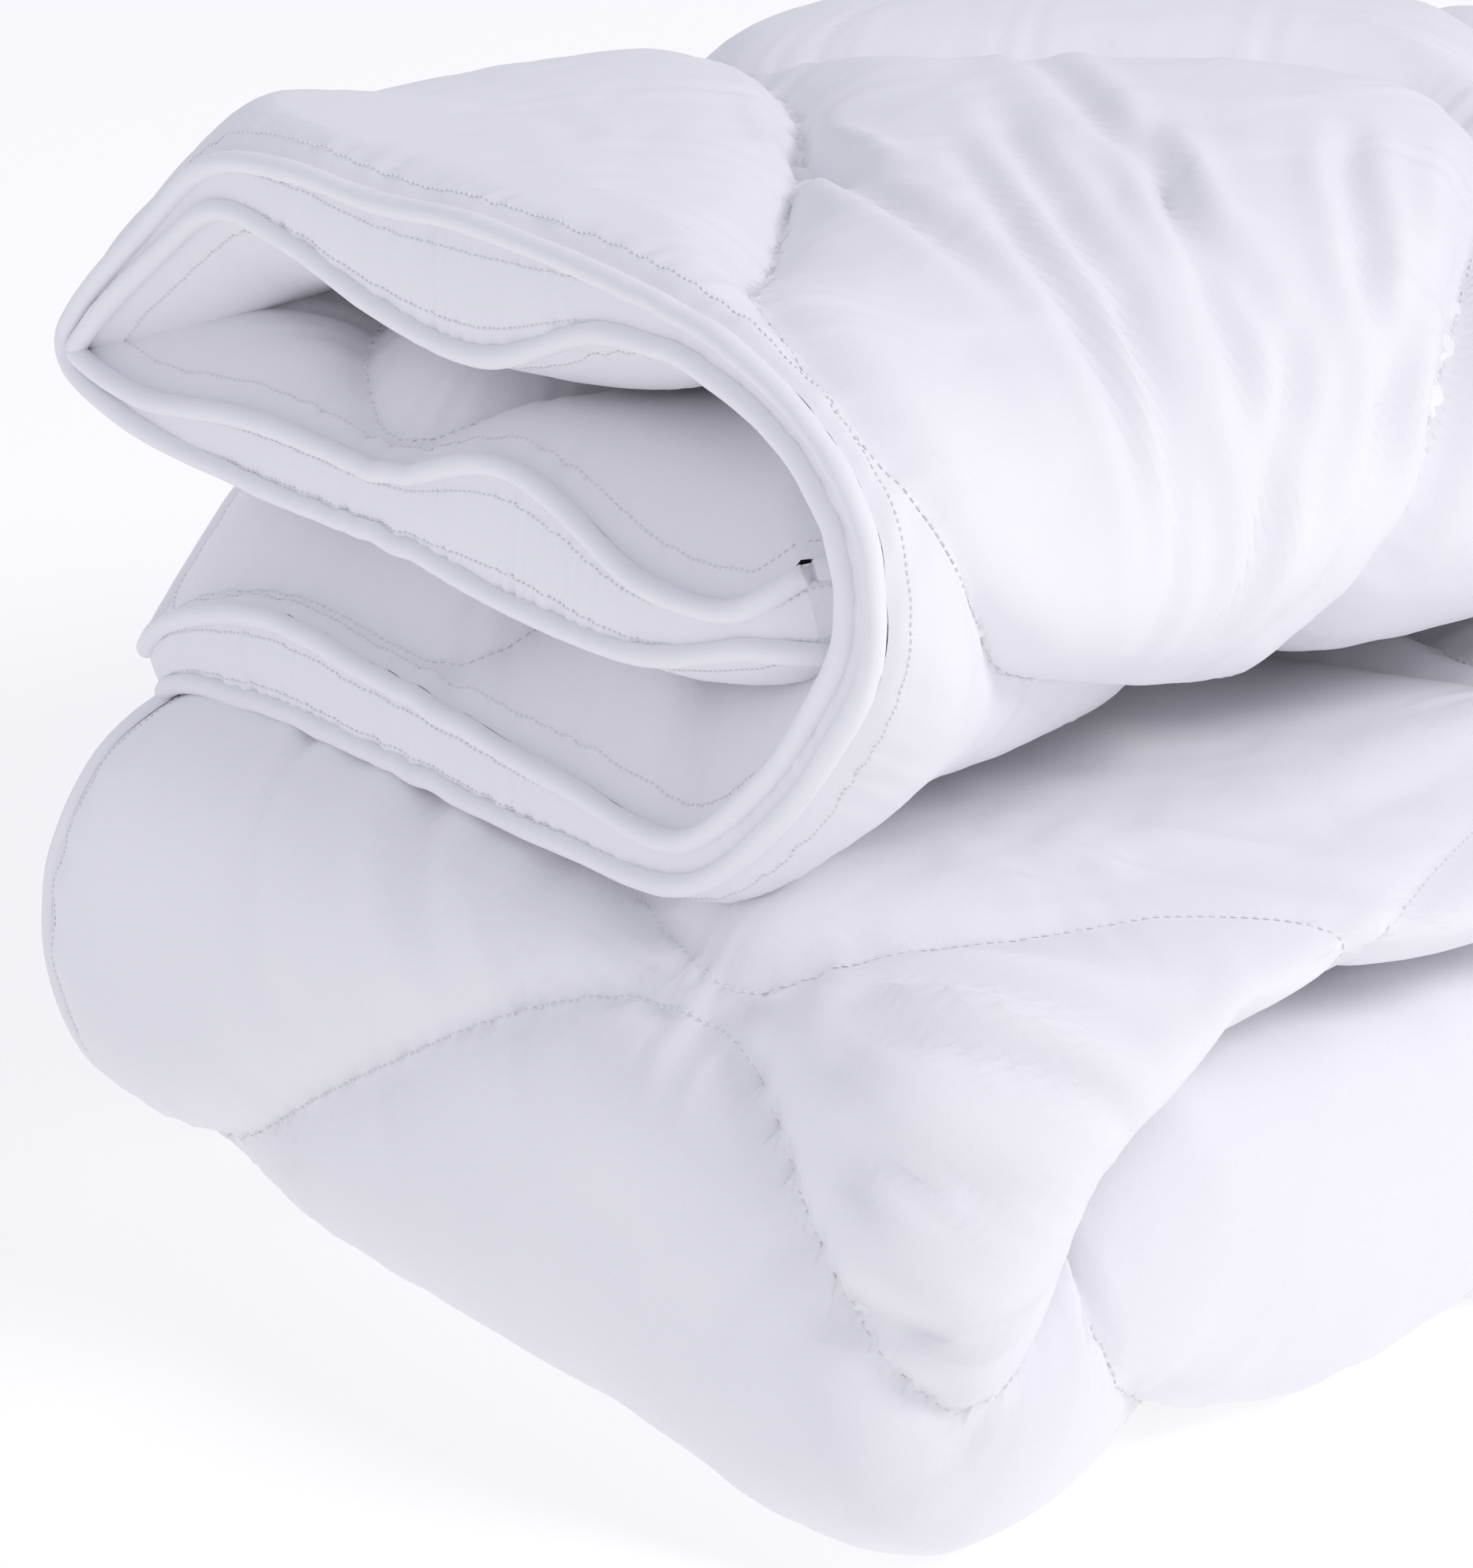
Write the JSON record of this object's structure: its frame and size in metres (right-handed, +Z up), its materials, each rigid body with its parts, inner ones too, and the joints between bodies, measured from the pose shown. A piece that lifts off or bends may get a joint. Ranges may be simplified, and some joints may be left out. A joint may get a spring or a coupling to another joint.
{
  "type": "folded duvet",
  "caption": "Folded white box-edge duvet with piped seams, wave quilting and soft wadding, stacked in thirds to rest on a bed or shelf.",
  "frame": {"origin": "on the floor, under the middle of the folded stack", "axes": "+Z up; +Y from the front turn, under the head end, towards the back turn; +X towards the side where the top layer wraps over"},
  "size_m": [0.49, 0.6924, 0.356],
  "materials": {
    "shell_fabric": "brushed microfibre, soft matt with a faint sheen",
    "gusset_fabric": "brushed microfibre, gathered",
    "piping_fabric": "bias-cut microfibre, smooth",
    "cotton_cord": "twisted cotton",
    "hollowfibre": "lofty carded polyester",
    "label_satin": "blank woven satin"
  },
  "bodies": {
    "root": {"face_panel": "shell_fabric", "back_panel": "shell_fabric", "head_gusset": "gusset_fabric", "foot_gusset": "gusset_fabric", "tucked_side_gusset": "gusset_fabric", "free_side_gusset": "gusset_fabric", "face_piping_cord": "cotton_cord", "face_piping_cover": "piping_fabric", "back_piping_cord": "cotton_cord", "back_piping_cover": "piping_fabric", "wadding": "hollowfibre", "care_label": "label_satin"}
  },
  "joints": []
}
